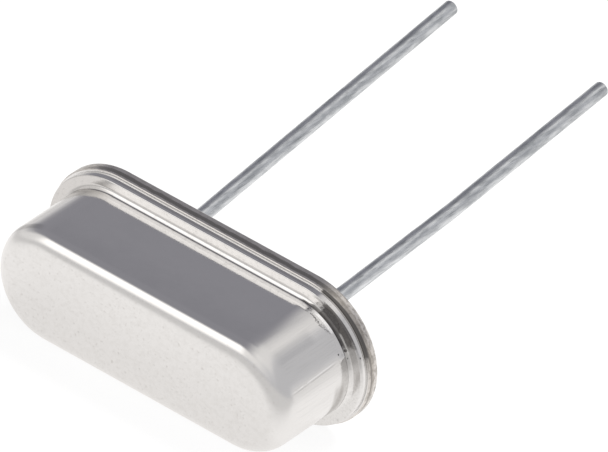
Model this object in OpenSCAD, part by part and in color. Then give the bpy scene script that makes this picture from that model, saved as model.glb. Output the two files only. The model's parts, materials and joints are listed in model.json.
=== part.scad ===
// Two-lead quartz crystal in a low metal can, lying on its flat side.
//
// Each piece is drawn upright, as it stands on a board: the seating face is z = 0, the can
// rises above it and the leads hang below it. at_rest() then lays the piece down. The wider
// base rim lifts the open end of the can, so the can lies a little nose down.

/* [Can] */
// Outside length of the can, over its two round ends
can_length = 10.06; // [8.3:0.02:13]
// Outside width of the can, across its flat sides
can_width = 3.58; // [2.9:0.02:4.4]
// Height from the seating face to the can's top
can_height = 3.38; // [2.8:0.02:5]
// Thickness of the sheet that the can is drawn from
can_sheet = 0.22; // [0.12:0.01:0.24]
// Outside rounding of the can's top edge
can_edge_r = 0.60; // [0.3:0.02:0.8]
// How far the can's flange stands out from its wall
can_flange = 0.34; // [0.3:0.01:0.5]
// Hollow rounding between the can's wall and its flange
can_root_r = 0.15; // [0.1:0.01:0.28]
// Rounding of the flange's front rim
can_rim_r = 0.08; // [0.02:0.01:0.1]

/* [Base] */
// Thickness of the base's flange
base_thick = 0.42; // [0.35:0.01:0.6]
// How far the base's rim stands out past the can's flange
base_lip = 0.10; // [0.02:0.01:0.2]
// Rounding of the base's rim at the seating face
base_foot_r = 0.12; // [0.03:0.01:0.2]
// Rounding of the base's rim at the can's flange
base_rim_r = 0.06; // [0.02:0.01:0.1]
// Height of the raised middle of the base above the seating face
plateau_height = 0.85; // [0.7:0.01:1.1]
// Gap between the raised middle and the inside of the can
plateau_gap = 0.08; // [0.04:0.01:0.2]
// Rounding of the raised middle's top edge
plateau_r = 0.10; // [0.03:0.01:0.2]

/* [Leads] */
// Distance between the two leads
lead_pitch = 4.90; // [4:0.02:5.9]
// Diameter of the lead wire
lead_d = 0.43; // [0.35:0.01:0.52]
// Length of wire below the seating face
lead_length = 13.15; // [8:0.05:16]
// Where each wire starts to lean, below the seating face
lead_bend_at = 2.20; // [1:0.05:4]
// Radius of the bend, at the middle of the wire
lead_bend_r = 1.2; // [0.8:0.1:3]
// Lean of the left lead along the can, in degrees
left_lean_along = -2.2; // [-8:0.1:8]
// Lean of the left lead towards the upper flat side, in degrees
left_lean_up = 5.4; // [-8:0.1:8]
// Lean of the right lead along the can, in degrees
right_lean_along = 0.6; // [-8:0.1:8]
// Lean of the right lead towards the upper flat side, in degrees
right_lean_up = 5.1; // [-8:0.1:8]
// Slight second bend of the right lead, back along the can, in degrees
right_bow = 1.8; // [0.2:0.1:6]
// Straight wire between the right lead's two bends
right_bow_at = 4.1; // [1:0.1:6]
// Radius of the slight second bend
right_bow_r = 10; // [2:1:30]
// Chamfer round the cut end of the wire
lead_tip = 0.05; // [0.02:0.01:0.1]
// How far the wire stands above the raised middle, inside the can
lead_stub = 0.10; // [0.05:0.01:0.3]
// Diameter of the flattened inner end
lead_head_d = 0.66; // [0.56:0.02:1]
// Thickness of the flattened inner end
lead_head = 0.12; // [0.08:0.01:0.2]

/* [Glass seals] */
// Diameter of the glass round each lead
seal_d = 1.50; // [1.2:0.02:1.8]
// How far the glass lies below the metal at both its ends
seal_recess = 0.04; // [0.02:0.01:0.1]
// Height that the glass climbs the wire
seal_climb = 0.03; // [0.01:0.01:0.04]

/* [Spring clips] */
// Thickness of the clip's strip
clip_sheet = 0.10; // [0.06:0.01:0.14]
// Width of the clip's strip
clip_width = 1.10; // [0.8:0.02:1.3]
// Radius of the clip's bends, at the middle of the strip
clip_bend_r = 0.12; // [0.09:0.01:0.16]
// Length of the foot past the middle of the lead
clip_foot = 0.45; // [0.35:0.01:0.6]
// Distance from the rising arm to the end of the quartz
clip_arm = 0.42; // [0.35:0.01:0.6]
// Room between the end of the quartz and the clip's stop
clip_stop_gap = 0.15; // [0.1:0.01:0.25]
// Room above the quartz, under the clip's lip
clip_lip_gap = 0.16; // [0.1:0.01:0.2]
// Length of the lip over the quartz
clip_lip = 0.30; // [0.2:0.01:0.4]

/* [Quartz] */
// Room between each end of the quartz and the inside of the can
quartz_end_gap = 0.85; // [0.6:0.01:1.1]
// Room between each side of the quartz and the inside of the can
quartz_side_gap = 0.71; // [0.5:0.01:0.9]
// Thickness of the quartz
quartz_thick = 0.17; // [0.1:0.01:0.25]
// Thickness of the metal film on each face, drawn thicker than the real one
film_thick = 0.02; // [0.01:0.005:0.03]
// Length of the film's middle pad
film_length = 4.20; // [3:0.05:4.8]
// Bare quartz on each side of the film's middle pad
film_margin = 0.28; // [0.15:0.01:0.35]
// Width of the film's tab
film_tab = 0.50; // [0.3:0.02:0.7]
// Diameter of the dot of adhesive at each end of the quartz
glue_d = 0.80; // [0.6:0.02:0.9]

/* [Hidden] */
$fn = 64;

STEEL = "silver";
WIRE = "lightgray";
GLASS = "darkseagreen";
CLIP = "burlywood";
QUARTZ = "aliceblue";
FILM = "gainsboro";
GLUE = "dimgray";

LEFT = -1;
RIGHT = 1;

// The outline is a straight middle with two round ends. Both share the same centres.
straight = can_length - can_width;
can_r = can_width / 2;
can_inner_r = can_r - can_sheet;
can_inner_top = can_height - can_sheet;
flange_top = base_thick + can_sheet;
flange_r = can_r + can_flange;
rim_r = flange_r + base_lip;
plateau_r_out = can_inner_r - plateau_gap;

// Lying down, the can touches with the base's rim and with its own rounded top edge.
// The tilt is that of the straight line that touches both roundings from outside.
rest_run = (can_height - can_edge_r) - (base_thick - base_rim_r);
rest_fall = (rim_r - base_rim_r) - (can_r - can_edge_r);
rest_tilt = atan2(rest_fall, rest_run) - asin((can_edge_r - base_rim_r) / norm([rest_run, rest_fall]));

// Heights inside the can, each from the piece below it
head_bottom = plateau_height + lead_stub;
foot_bottom = head_bottom + lead_head;
cavity_middle = (plateau_height + can_inner_top) / 2;
quartz_bottom = cavity_middle - quartz_thick / 2;
quartz_top = quartz_bottom + quartz_thick;
shelf_top = quartz_bottom - film_thick;
lip_bottom = quartz_top + film_thick + clip_lip_gap;

// Lengths inside the can
quartz_length = straight + 2 * can_inner_r - 2 * quartz_end_gap;
quartz_width = 2 * can_inner_r - 2 * quartz_side_gap;
arm_x = quartz_length / 2 - clip_arm;
stop_x = quartz_length / 2 + clip_stop_gap;

// Lays an upright piece down: its upper flat side faces up, its leads point to +Y
module at_rest() {
    rotate([90 + rest_tilt, 0, 0]) children();
}

// A block from the middle line out to r, with its outer corner rounded at the top
module half_section(r, bottom, top, round_r) {
    translate([0, bottom]) square([r, top - bottom - round_r]);
    translate([0, bottom]) square([r - round_r, top - bottom]);
    translate([r - round_r, top - round_r]) circle(round_r);
}

// Sweeps a half section along both straight sides and round both ends
module oblong() {
    rotate([90, 0, 90])
        linear_extrude(height = straight, center = true) {
            children();
            mirror([1, 0]) children();
        }
    for (turn = [0, 180])
        rotate([0, 0, turn])
            translate([straight / 2, 0, 0])
                rotate([0, 0, -90])
                    rotate_extrude(angle = 180) children();
}

// What the drawn can fills, solid: body, flange and the hollow rounding between them.
// inset is 0 for the outside of the sheet, and the sheet's thickness for its inside.
module can_form(inset) {
    bend_x = can_r + can_root_r;
    bend_z = flange_top + can_root_r;
    bend_r = can_root_r + inset;
    half_section(can_r - inset, base_thick, can_height - inset, can_edge_r - inset);
    difference() {
        translate([0, base_thick]) square([bend_x, bend_z - base_thick]);
        translate([bend_x, bend_z]) circle(bend_r);
    }
}

module cap() {
    color(STEEL) at_rest() oblong() {
        difference() {
            union() {
                can_form(0);
                half_section(flange_r, base_thick, flange_top, can_rim_r);
            }
            can_form(can_sheet);
        }
    }
}

module base() {
    color(STEEL) at_rest() difference() {
        oblong() {
            intersection() {
                half_section(rim_r, 0, base_thick, base_rim_r);
                translate([0, base_thick]) mirror([0, 1])
                    half_section(rim_r, 0, base_thick, base_foot_r);
            }
            half_section(plateau_r_out, base_foot_r, plateau_height, plateau_r);
        }
        for (side = [LEFT, RIGHT])
            translate([side * lead_pitch / 2, 0, -1])
                cylinder(d = seal_d, h = plateau_height + 2);
    }
}

// The glass is hollow at both ends and climbs a little up the wire
module glass_seal(side) {
    bottom = seal_recess;
    top = plateau_height - seal_recess;
    climb_r = lead_d / 2 + seal_climb;
    color(GLASS) at_rest() translate([side * lead_pitch / 2, 0, 0])
        rotate_extrude() difference() {
            union() {
                translate([0, bottom]) square([seal_d / 2, top - bottom]);
                translate([0, bottom - seal_climb]) square([climb_r, top - bottom + 2 * seal_climb]);
            }
            translate([0, -1]) square([lead_d / 2, plateau_height + 2]);
            for (z = [bottom - seal_climb, top + seal_climb])
                translate([climb_r, z]) circle(seal_climb);
        }
}

// The wire comes out square, bends by its two leans and runs on to its cut end.
// along and up are the leans in degrees. The right wire also has a slight second bend.
module lead(side, along, up) {
    slope = [tan(along), tan(up)];
    heading = atan2(slope.y, slope.x);
    lean = atan(norm(slope));
    tangent = lead_bend_r * tan(lean / 2);
    straight_down = lead_bend_at - tangent;
    run = lead_length - lead_bend_at - tangent;
    bow_length = right_bow_r * right_bow * PI / 180;
    color(WIRE) at_rest() translate([side * lead_pitch / 2, 0, 0]) {
        translate([0, 0, -straight_down]) {
            cylinder(d = lead_d, h = straight_down + head_bottom);
            rotate([0, 0, heading]) wire_bend(lead_bend_r, lean) rotate([0, 0, -heading])
                if (side == LEFT) wire_end(run);
                else wire_straight(right_bow_at) rotate([0, 0, 180])
                    wire_bend(right_bow_r, right_bow)
                        wire_end(run - right_bow_at - bow_length);
        }
        translate([0, 0, head_bottom]) cylinder(d = lead_head_d, h = lead_head);
    }
}

// A straight stretch of wire hanging from the origin, with the next piece at its lower end
module wire_straight(length) {
    translate([0, 0, -length]) {
        cylinder(d = lead_d, h = length);
        children();
    }
}

// A bend that leads a hanging wire away towards +X, with the next piece at its far end
module wire_bend(bend_r, angle) {
    translate([bend_r, 0, 0]) rotate([-90, 0, 180])
        rotate_extrude(angle = angle) translate([bend_r, 0]) circle(d = lead_d);
    translate([bend_r * (1 - cos(angle)), 0, -bend_r * sin(angle)])
        rotate([0, -angle, 0]) children();
}

// The last straight stretch of wire, with a chamfered end
module wire_end(run) {
    translate([0, 0, -run + lead_tip]) cylinder(d = lead_d, h = run - lead_tip);
    translate([0, 0, -run]) cylinder(d1 = lead_d - 2 * lead_tip, d2 = lead_d, h = lead_tip);
}

// A strip seen edge on, with a round bend at each inner point of a square-cornered route
module bent_strip(route) {
    last = len(route) - 1;
    for (i = [1 : last]) {
        ahead = (route[i] - route[i - 1]) / norm(route[i] - route[i - 1]);
        from = route[i - 1] + ahead * (i == 1 ? 0 : clip_bend_r);
        to = route[i] - ahead * (i == last ? 0 : clip_bend_r);
        half = [abs(ahead.y), abs(ahead.x)] * clip_sheet / 2;
        low = [min(from.x, to.x), min(from.y, to.y)] - half;
        high = [max(from.x, to.x), max(from.y, to.y)] + half;
        translate(low) square(high - low);
        if (i < last) {
            next = (route[i + 1] - route[i]) / norm(route[i + 1] - route[i]);
            translate(to + next * clip_bend_r) strip_bend(ahead - next);
        }
    }
}

// A quarter of a ring, in the quarter that both signs of corner point to
module strip_bend(corner) {
    outer = clip_bend_r + clip_sheet / 2;
    intersection() {
        difference() {
            circle(outer);
            circle(clip_bend_r - clip_sheet / 2);
        }
        translate([min(corner.x, 0), min(corner.y, 0)] * outer) square(outer);
    }
}

// Foot on the lead's head, arm up, shelf under the quartz, stop at its end, lip above it
module clip_form() {
    middle = clip_sheet / 2;
    rotate([90, 0, 0]) linear_extrude(height = clip_width, center = true)
        bent_strip([
            [lead_pitch / 2 - clip_foot, foot_bottom + middle],
            [arm_x, foot_bottom + middle],
            [arm_x, shelf_top - middle],
            [stop_x + middle, shelf_top - middle],
            [stop_x + middle, lip_bottom + middle],
            [quartz_length / 2 - clip_lip, lip_bottom + middle]
        ]);
}

module spring_clip(side) {
    color(CLIP) at_rest() on_side(side) clip_form();
}

// Draws for the right-hand side, or turned half round for the left-hand side
module on_side(side) {
    rotate([0, 0, side == RIGHT ? 0 : 180]) children();
}

module quartz_form() {
    translate([-quartz_length / 2, -quartz_width / 2, quartz_bottom])
        cube([quartz_length, quartz_width, quartz_thick]);
}

module quartz_blank() {
    color(QUARTZ) at_rest() quartz_form();
}

// A middle pad with a tab that runs out to the end of the quartz on one side
module film_form(side) {
    pad = quartz_width - 2 * film_margin;
    face = side == RIGHT ? quartz_top : quartz_bottom - film_thick;
    on_side(side) translate([0, 0, face]) {
        translate([-film_length / 2, -pad / 2, 0]) cube([film_length, pad, film_thick]);
        translate([0, -film_tab / 2, 0]) cube([quartz_length / 2, film_tab, film_thick]);
    }
}

// The upper film's tab runs to the right, the lower film's to the left
module electrode(side) {
    color(FILM) at_rest() film_form(side);
}

// A dot that fills the clip's mouth round the end of the quartz
module adhesive(side) {
    near = stop_x - glue_d;
    color(GLUE) at_rest() difference() {
        on_side(side) translate([near + glue_d / 2, 0, shelf_top]) {
            cylinder(d = glue_d, h = lip_bottom - shelf_top);
            translate([0, -glue_d / 2, 0]) cube([glue_d / 2, glue_d, lip_bottom - shelf_top]);
        }
        quartz_form();
        film_form(side);
        on_side(side) clip_form();
    }
}

cap();
base();
glass_seal(LEFT);  // glass_seal_left
glass_seal(RIGHT);  // glass_seal_right
lead(LEFT, left_lean_along, left_lean_up);  // lead_left
lead(RIGHT, right_lean_along, right_lean_up);  // lead_right
spring_clip(LEFT);  // spring_clip_left
spring_clip(RIGHT);  // spring_clip_right
quartz_blank();
electrode(RIGHT);  // electrode_top
electrode(LEFT);  // electrode_bottom
adhesive(LEFT);  // adhesive_left
adhesive(RIGHT);  // adhesive_right
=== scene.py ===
# %% [markdown]
# # A two-lead quartz crystal in a low metal can
# The can is a thin drawn shell with rounded ends, welded by its flange to a stamped base. Two
# wires leave the base through glass beads. Inside, two bent clips hold a thin strip of quartz.
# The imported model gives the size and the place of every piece. This file gives each outer piece
# its smooth surface, gives every piece its finish, and sets up the floor, the light and the
# camera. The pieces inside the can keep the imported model's surfaces.

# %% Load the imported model
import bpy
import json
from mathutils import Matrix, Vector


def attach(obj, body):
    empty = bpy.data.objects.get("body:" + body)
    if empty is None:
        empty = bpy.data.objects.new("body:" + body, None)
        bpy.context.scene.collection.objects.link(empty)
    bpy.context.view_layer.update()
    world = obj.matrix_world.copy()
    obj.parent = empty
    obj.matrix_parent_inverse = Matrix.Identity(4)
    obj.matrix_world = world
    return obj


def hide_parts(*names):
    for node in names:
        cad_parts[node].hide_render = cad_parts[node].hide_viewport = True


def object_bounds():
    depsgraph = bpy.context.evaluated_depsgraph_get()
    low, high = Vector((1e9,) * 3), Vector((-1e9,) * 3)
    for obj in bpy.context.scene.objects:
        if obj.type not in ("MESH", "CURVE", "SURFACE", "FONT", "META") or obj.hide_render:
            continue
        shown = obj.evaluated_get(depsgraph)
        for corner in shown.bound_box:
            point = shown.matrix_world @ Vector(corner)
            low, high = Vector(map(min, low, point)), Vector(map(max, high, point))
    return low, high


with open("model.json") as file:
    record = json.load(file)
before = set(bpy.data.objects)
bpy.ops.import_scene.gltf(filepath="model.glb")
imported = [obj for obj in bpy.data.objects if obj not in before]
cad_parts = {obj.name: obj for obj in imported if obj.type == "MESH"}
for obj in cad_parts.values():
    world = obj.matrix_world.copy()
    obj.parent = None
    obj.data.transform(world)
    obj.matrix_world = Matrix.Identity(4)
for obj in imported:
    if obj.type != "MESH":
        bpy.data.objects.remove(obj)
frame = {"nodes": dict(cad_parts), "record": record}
cad_box = [list(corner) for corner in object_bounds()]

import json
import math
from types import SimpleNamespace

import bpy
from mathutils import Matrix, Vector

MM = 0.001
print("CAD box, mm:", [[round(value / MM, 3) for value in corner] for corner in cad_box])

# %% [markdown]
# ## Standing up and lying down
# The part lies on its flat side with its nose a little down, because the base is wider than the
# can. Every piece is easier to model upright, with the seating face at z = 0 and the can above
# it. The seat's direction in the record gives the turn between the two, so each piece is
# modelled upright and laid down at the end.

# %% The turn from upright to lying
mounts = {mount["name"]: mount for mount in frame["record"]["mounts"]}
out_of_base = Vector(mounts["board_seat"]["axis"])
NOSE_DIP = math.atan2(out_of_base.z, out_of_base.y)
LIE_DOWN = math.radians(90) + NOSE_DIP
STAND_UP = Matrix.Rotation(-LIE_DOWN, 3, "X")
print("nose dip, degrees:", round(math.degrees(NOSE_DIP), 2))


def upright_box(node):
    """Lowest and highest corner of a CAD node, once it stands upright."""
    points = [STAND_UP @ vertex.co for vertex in frame["nodes"][node].data.vertices]
    low = Vector([min(point[axis] for point in points) for axis in range(3)])
    high = Vector([max(point[axis] for point in points) for axis in range(3)])
    return low, high


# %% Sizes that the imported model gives
cap_low, cap_high = upright_box("cap")
base_high = upright_box("base")[1]
STRAIGHT = 2 * (cap_high.x - cap_high.y)
FLANGE_R = cap_high.y
BASE_TOP = cap_low.z
CAN_TOP = cap_high.z
RIM_R = base_high.y
PLATEAU_TOP = base_high.z
print("straight, flange, rim, mm:", [round(v / MM, 3) for v in (STRAIGHT, FLANGE_R, RIM_R)])

# %% Sizes of the sheet and its bends, as in the model's source
CAN_R = 1.79 * MM
SHEET = 0.22 * MM
TOP_EDGE_R = 0.60 * MM
ROOT_R = 0.15 * MM
CAP_RIM_EDGE = 0.035 * MM
FOOT_EDGE = 0.12 * MM
BASE_RIM_EDGE = 0.06 * MM
PLATEAU_R = 1.49 * MM
PLATEAU_EDGE = 0.10 * MM
SEAL_R = 0.75 * MM
SEAL_RECESS = 0.04 * MM
MERGE = 0.0005 * MM

# %% [markdown]
# ## Helpers for modelling
# An operator works on whatever is selected, and loading the model leaves its nodes selected. So
# each new piece starts from an empty selection. A finished piece is laid down with its turn
# applied, so that its object sits at the origin and its place is in its mesh.


# %% Start, finish and lay down a piece
SMOOTH_BELOW = math.radians(40)


def clear_selection():
    """Leaves edit mode and deselects everything."""
    if bpy.context.object and bpy.context.object.mode != "OBJECT":
        bpy.ops.object.mode_set(mode="OBJECT")
    bpy.ops.object.select_all(action="DESELECT")


def finish_mesh(piece):
    """Merges doubles, turns the faces outwards and smooths all but the sharp edges."""
    bpy.ops.mesh.select_all(action="SELECT")
    bpy.ops.mesh.remove_doubles(threshold=MERGE)
    bpy.ops.mesh.normals_make_consistent(inside=False)
    bpy.ops.object.mode_set(mode="OBJECT")
    bpy.ops.object.shade_smooth_by_angle(angle=SMOOTH_BELOW)
    print(piece.name, "has", len(piece.data.polygons), "faces")


def apply_modifier(piece, kind, **settings):
    """Adds a modifier and applies it at once."""
    bpy.context.view_layer.objects.active = piece
    modifier = piece.modifiers.new(kind.lower(), kind)
    for name, value in settings.items():
        setattr(modifier, name, value)
    bpy.ops.object.modifier_apply(modifier=modifier.name)


def lay_down(piece):
    """Turns an upright piece to its lying place and applies the turn."""
    clear_selection()
    piece.select_set(True)
    bpy.context.view_layer.objects.active = piece
    piece.rotation_euler = (LIE_DOWN, 0, 0)
    bpy.ops.object.transform_apply(location=True, rotation=True, scale=True)
    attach(piece, "root")


# %% [markdown]
# ## Drawing a section
# The can and the base are the same shape all the way round: one section, swept along an outline
# of two straight sides and two round ends. A section is drawn as by hand. A plane is merged to
# a single point, and the point is extruded from place to place. A bevelled box would be quicker,
# but a swept section gives each bend its true radius and runs evenly round the ends. A section
# lies in the plane across the can: r is the distance out from the middle line, and z the height.


# %% Section tools
END_STEPS = 64
SIDE_STEPS = 12


def rounding(middle_r, middle_z, radius, start, end, steps):
    """Points round a corner, as (r, z), from the start angle to the end angle in degrees."""
    angles = [math.radians(start + (end - start) * i / steps) for i in range(steps + 1)]
    return [(middle_r + radius * math.cos(a), middle_z + radius * math.sin(a)) for a in angles]


def draw_section(name, section, x):
    """Draws a chain of points in the plane across the can at x, and leaves it selected."""
    clear_selection()
    points = [Vector((x, r, z)) for r, z in section]
    bpy.ops.mesh.primitive_plane_add(size=MM)
    piece = bpy.context.object
    piece.name = name
    bpy.ops.object.mode_set(mode="EDIT")
    bpy.ops.mesh.merge(type="CENTER")
    bpy.ops.transform.translate(value=points[0])
    for last, point in zip(points, points[1:]):
        bpy.ops.mesh.extrude_vertices_move(TRANSFORM_OT_translate={"value": point - last})
    bpy.ops.mesh.select_all(action="SELECT")
    return piece


def sweep_oblong():
    """Spins the selected section round one end, extrudes it along a side, and does so again."""
    for end in (1, -1):
        middle = (end * STRAIGHT / 2, 0, 0)
        bpy.ops.mesh.spin(steps=END_STEPS, angle=math.pi, center=middle, axis=(0, 0, 1))
        step = (-end * STRAIGHT / SIDE_STEPS, 0, 0)
        for _ in range(SIDE_STEPS):
            bpy.ops.mesh.extrude_region_move(TRANSFORM_OT_translate={"value": step})


# %% [markdown]
# ## The can
# The can is deep drawn from thin nickel-plated sheet: a flat top with a wide rounding, straight
# walls, a small hollow bend at the foot and a flat flange. Its section is one sheet thickness
# all along, so the shell is closed and hollow as the real one is. The weld's press has squeezed
# the outside of the bend into a short slope between two roundings, and has pushed a fine burr
# out of the flange's rim. Both catch the light as thin lines all round. A Solidify modifier could
# give a plain shell its wall, but it would round the inside and the outside of the foot alike.

# %% The can's section
FLANGE_TOP = BASE_TOP + SHEET
FOOT_SHARP = 0.016 * MM
FOOT_SOFT = 0.13 * MM
FOOT_SLOPE = 0.047 * MM
RIM_BURR = 0.02 * MM
WALL_START = 0.1 * MM
slope = math.radians(45)
foot_out = FOOT_SHARP * (1 - math.cos(slope)) + (FOOT_SLOPE + FOOT_SOFT) * math.cos(slope)
foot_up = FOOT_SOFT * (1 - math.cos(slope)) + (FOOT_SLOPE + FOOT_SHARP) * math.cos(slope)
soft_r, soft_z = CAN_R + foot_out, FLANGE_TOP + FOOT_SOFT
sharp_r, sharp_z = CAN_R + FOOT_SHARP, FLANGE_TOP + foot_up
rim_r, rim_z = FLANGE_R + RIM_BURR - CAP_RIM_EDGE, FLANGE_TOP - CAP_RIM_EDGE
bend_r, bend_z = CAN_R + ROOT_R, FLANGE_TOP + ROOT_R
edge_r, edge_z = CAN_R - TOP_EDGE_R, CAN_TOP - TOP_EDGE_R
cap_section = [
    (0, CAN_TOP), (edge_r / 2, CAN_TOP),
    *rounding(edge_r, edge_z, TOP_EDGE_R, 90, 0, steps=16),
    (CAN_R, (edge_z + bend_z) / 2), (CAN_R, sharp_z + WALL_START),
    *rounding(sharp_r, sharp_z, FOOT_SHARP, 180, 225, steps=4),
    *rounding(soft_r, soft_z, FOOT_SOFT, 225, 270, steps=5),
    *rounding(rim_r, rim_z, CAP_RIM_EDGE, 90, 0, steps=5),
    (FLANGE_R, BASE_TOP),
    *rounding(bend_r, bend_z, ROOT_R + SHEET, 270, 180, steps=10),
    *rounding(edge_r, edge_z, TOP_EDGE_R - SHEET, 0, 90, steps=10),
    (0, CAN_TOP - SHEET),
]
print("points in the can's section:", len(cap_section))

# %% Sweep the can
cap = draw_section("can_shell", cap_section, STRAIGHT / 2)
sweep_oblong()
finish_mesh(cap)
apply_modifier(cap, "WEIGHTED_NORMAL", keep_sharp=True)
lay_down(cap)
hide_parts("cap")

# %% [markdown]
# ## The base
# The base is stamped from thicker plate. Its rim stands out a little past the can's flange, and
# its middle is raised to fit inside the can. Two round holes take the glass beads. They could be
# left out of a drawn outline, but a Boolean modifier cuts them through every step of the section
# at once, as a punch would.

# %% Sweep the base
base_section = [
    (0, 0),
    *rounding(RIM_R - FOOT_EDGE, FOOT_EDGE, FOOT_EDGE, -90, 0, steps=8),
    *rounding(RIM_R - BASE_RIM_EDGE, BASE_TOP - BASE_RIM_EDGE, BASE_RIM_EDGE, 0, 90, steps=6),
    (PLATEAU_R, BASE_TOP),
    *rounding(PLATEAU_R - PLATEAU_EDGE, PLATEAU_TOP - PLATEAU_EDGE, PLATEAU_EDGE, 0, 90, steps=6),
    (0, PLATEAU_TOP),
]
base = draw_section("base_plate", base_section, STRAIGHT / 2)
sweep_oblong()
finish_mesh(base)

# %% Punch the two holes
HOLE_SIDES = 64
lead_places = {}
for side in ("left", "right"):
    low, high = upright_box(f"glass_seal_{side}")
    lead_places[side] = (low.x + high.x) / 2
    clear_selection()
    bpy.ops.mesh.primitive_cylinder_add(
        vertices=HOLE_SIDES, radius=SEAL_R, depth=4 * PLATEAU_TOP, location=(lead_places[side], 0, 0))
    punch = bpy.context.object
    apply_modifier(base, "BOOLEAN", operation="DIFFERENCE", solver="EXACT", object=punch)
    bpy.data.objects.remove(punch)
clear_selection()
base.select_set(True)
bpy.context.view_layer.objects.active = base
bpy.ops.object.shade_smooth_by_angle(angle=SMOOTH_BELOW)
apply_modifier(base, "WEIGHTED_NORMAL", keep_sharp=True)
lay_down(base)
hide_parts("base")
print("lead places, mm:", {side: round(x / MM, 3) for side, x in lead_places.items()})

# %% [markdown]
# ## The leads
# Each lead is one piece of wire. It stands square through the glass, leans a little once it is
# out, and runs on straight. The right wire has a second, slighter bend, as handling leaves it.
# A curve with a round bevel could make it too, but a circle that is extruded, bent with Spin and
# extruded again keeps its rings even and needs no conversion. Its inner end is flattened to a
# small head.

# %% Sizes of the wire
LEAD_R = mounts["lead_left"]["dims"]["r_mm"] * MM
LEAD_OUT = 13.15 * MM
LEAN_AT = 2.20 * MM
LEAN_R = 1.2 * MM
LEAN_ALONG = {"left": -2.2, "right": 0.6}
LEAN_UP = {"left": 5.4, "right": 5.1}
BOW_AT = 4.1 * MM
BOW_R = 10 * MM
BOW = math.radians(1.8)
TIP_EDGE = 0.05 * MM
HEAD_R = 0.33 * MM
HEAD_THICK = 0.12 * MM
WIRE_SIDES = 32
STEM_STEPS, BEND_STEPS, BOW_STEPS, RUN_STEPS = 6, 5, 4, 14


# %% Bend and run on
def extrude_by(move, steps=1):
    """Extrudes the selection by a move, cut into equal steps."""
    for _ in range(steps):
        bpy.ops.mesh.extrude_region_move(TRANSFORM_OT_translate={"value": Vector(move) / steps})


def bend_towards(place, way, side_way, radius, angle):
    """Spins the wire's end round a bend and returns its new place and way."""
    middle = place + side_way * radius
    bpy.ops.mesh.spin(steps=BEND_STEPS, angle=angle, center=middle, axis=side_way.cross(way))
    new_way = way * math.cos(angle) + side_way * math.sin(angle)
    new_side = side_way * math.cos(angle) - way * math.sin(angle)
    return middle - new_side * radius, new_way


# %% Model a lead
def model_lead(side):
    """Models one wire from its inner head to its cut end."""
    x = lead_places[side]
    head_top = upright_box(f"lead_{side}")[1].z
    down = Vector((0, 0, -1))
    along = math.tan(math.radians(LEAN_ALONG[side]))
    upward = math.tan(math.radians(LEAN_UP[side]))
    sideways = Vector((along, upward, 0))
    lean = math.atan(sideways.length)
    tangent = LEAN_R * math.tan(lean / 2)
    bend_start = Vector((x, 0, tangent - LEAN_AT))
    run = LEAD_OUT - LEAN_AT - tangent

    clear_selection()
    bpy.ops.mesh.primitive_circle_add(vertices=WIRE_SIDES, radius=HEAD_R, fill_type="NGON")
    wire = bpy.context.object
    wire.name = f"wire_{side}"
    bpy.ops.object.mode_set(mode="EDIT")
    bpy.ops.transform.translate(value=(x, 0, head_top))
    extrude_by(down * HEAD_THICK)
    bpy.ops.mesh.inset(thickness=HEAD_R - LEAD_R)
    extrude_by(down * (head_top - HEAD_THICK - bend_start.z), STEM_STEPS)
    place, way = bend_towards(bend_start, down, sideways.normalized(), LEAN_R, lean)
    if side == "right":
        extrude_by(way * BOW_AT, BOW_STEPS)
        turn = down.rotation_difference(way)
        back_along = turn @ Vector((-1, 0, 0))
        place, way = bend_towards(place + way * BOW_AT, way, back_along, BOW_R, BOW)
        run -= BOW_AT + BOW_R * BOW
    extrude_by(way * run, RUN_STEPS)
    bpy.ops.mesh.bevel(offset=TIP_EDGE, segments=3, affect="EDGES")
    finish_mesh(wire)
    off = way.angle(STAND_UP @ Vector(mounts[f"lead_{side}"]["axis"]))
    print(wire.name, "is off the mount's axis by", round(math.degrees(off), 3), "degrees")
    lay_down(wire)
    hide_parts(f"lead_{side}")
    return wire


wires = {side: model_lead(side) for side in ("left", "right")}

# %% [markdown]
# ## The glass beads
# Sealing glass is melted into each hole. It wets both the plate and the wire, so its surface is
# hollow and climbs a little at both. A plain cylinder would leave a flat grey disc, and the
# hollow is what gives the ring of light. Its section is spun all the way round the wire.

# %% Model a glass bead
MENISCUS = 0.03 * MM
DIP_STEPS = 8
BEAD_STEPS = 48


def model_bead(side):
    """Models the glass round one wire."""
    x = lead_places[side]
    low, high = SEAL_RECESS, PLATEAU_TOP - SEAL_RECESS
    width = SEAL_R - LEAD_R
    shares = [i / DIP_STEPS for i in range(DIP_STEPS + 1)]
    dip = [(LEAD_R + width * t, MENISCUS * (1 - (2 * t - 1) ** 4)) for t in shares]
    section = [(r, high - d) for r, d in dip] + [(r, low + d) for r, d in reversed(dip)]
    bead = draw_section(f"glass_bead_{side}", section + section[:1], x)
    bpy.ops.mesh.spin(steps=BEAD_STEPS, angle=math.tau, center=(x, 0, 0), axis=(0, 0, 1))
    finish_mesh(bead)
    lay_down(bead)
    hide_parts(f"glass_seal_{side}")
    return bead


beads = {side: model_bead(side) for side in ("left", "right")}
print("glass round each wire, mm:", round((SEAL_R - LEAD_R) / MM, 3))

# %% [markdown]
# ## Helpers for materials
# A colour is written as the hex value a screen shows, and one function turns it into the linear
# value that the shader works with. One small function adds a node with its settings and links.
# The marks on the metal are masks: numbers from 0 to 1 that say where a mark is. A soft edge
# makes a mask, masks are multiplied to keep what they share, and a colour is tinted with them.
# Marks could be painted on an image instead, but a mask stays sharp at any size and needs no
# unwrapping.


# %% Colours and nodes
def linear(hex_colour):
    """Linear RGBA of an sRGB hex colour such as e5e1de."""
    channels = [int(hex_colour[i:i + 2], 16) / 255 for i in (0, 2, 4)]
    curve = [c / 12.92 if c <= 0.04045 else ((c + 0.055) / 1.055) ** 2.4 for c in channels]
    return (*curve, 1.0)


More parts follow.
